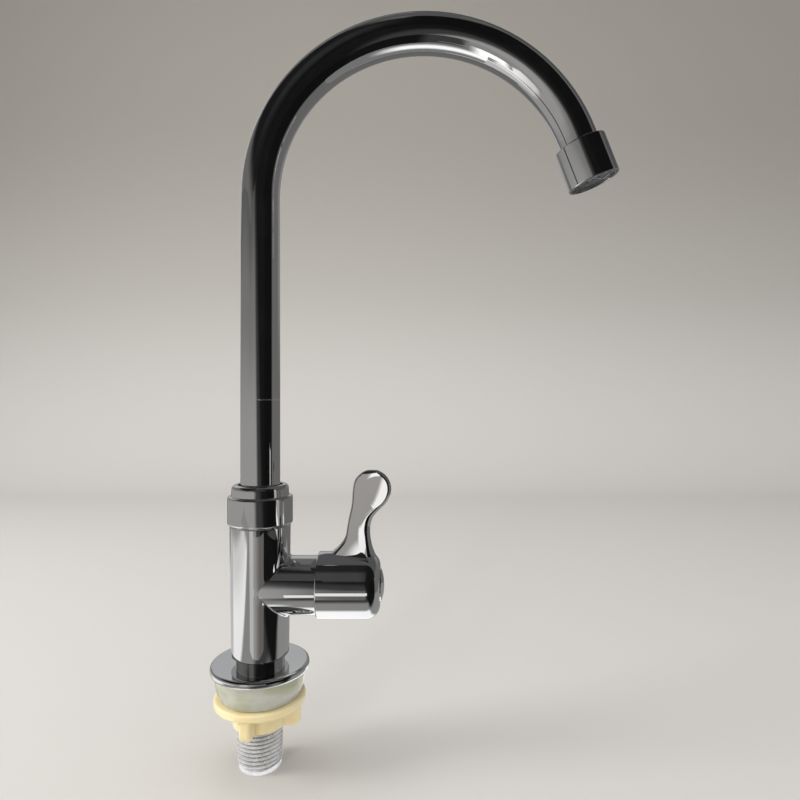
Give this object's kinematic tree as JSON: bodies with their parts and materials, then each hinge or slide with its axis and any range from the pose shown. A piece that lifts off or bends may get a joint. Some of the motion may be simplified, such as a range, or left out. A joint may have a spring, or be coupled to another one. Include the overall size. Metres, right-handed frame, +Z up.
{
  "type": "kitchen tap",
  "caption": "Deck-mounted kitchen tap with a swivel gooseneck spout, side lever, cover flange, clear gasket, threaded inlet tail and plastic back nut.",
  "frame": {"origin": "centre of the deck gasket's underside, on the worktop's top face", "axes": "+Z up along the shank and riser, +X towards the lever and the spout's outlet at rest"},
  "size_m": [0.1907, 0.0456, 0.3521],
  "materials": {
    "chrome": "mirror-bright plating",
    "zinc_thread": "bare cast zinc, cut thread",
    "clear_gasket": "clear soft PVC",
    "cream_plastic": "moulded, slightly translucent",
    "white_plastic": "moulded",
    "grey_plastic": "moulded",
    "brass": "turned",
    "rubber": "moulded",
    "ceramic": "lapped",
    "steel": "stainless"
  },
  "bodies": {
    "tap_body": {"valve_body": "chrome", "threaded_shank": "zinc_thread", "base_flange": "chrome", "deck_gasket": "clear_gasket", "spout_collar_nut": "chrome", "friction_washer": "white_plastic", "cartridge_housing": "brass", "cartridge_o_ring": "rubber", "fixed_ceramic_disc": "ceramic", "seat_seal": "rubber"},
    "lever": {"lever_handle": "chrome", "handle_cap": "chrome", "handle_screw": "steel", "spindle": "brass", "spindle_clip": "steel", "spindle_o_rings": "rubber", "thrust_ring": "white_plastic", "moving_ceramic_disc": "ceramic"},
    "swivel_spout": {"spout_tube": "chrome", "spout_ferrule": "brass", "spout_o_rings": "rubber", "nozzle_housing": "chrome", "nozzle_washer": "rubber", "aerator_insert": "grey_plastic", "aerator_mesh": "steel"},
    "deck_nut": {"back_nut": "cream_plastic"}
  },
  "joints": [
    {"name": "spout_swivel", "type": "hinge", "parent": "tap_body", "child": "swivel_spout", "pos_m": [0, 0, 0.0885], "axis": [0, 0, 1], "continuous": true},
    {"name": "handle_turn", "type": "hinge", "parent": "tap_body", "child": "lever", "pos_m": [0.027, 0, 0.0506], "axis": [1, 0, 0], "range_deg": [0, 90]},
    {"name": "deck_nut_travel", "type": "slide", "parent": "tap_body", "child": "deck_nut", "axis": [0, 0, -1], "range_m": [0, 0.017]}
  ]
}
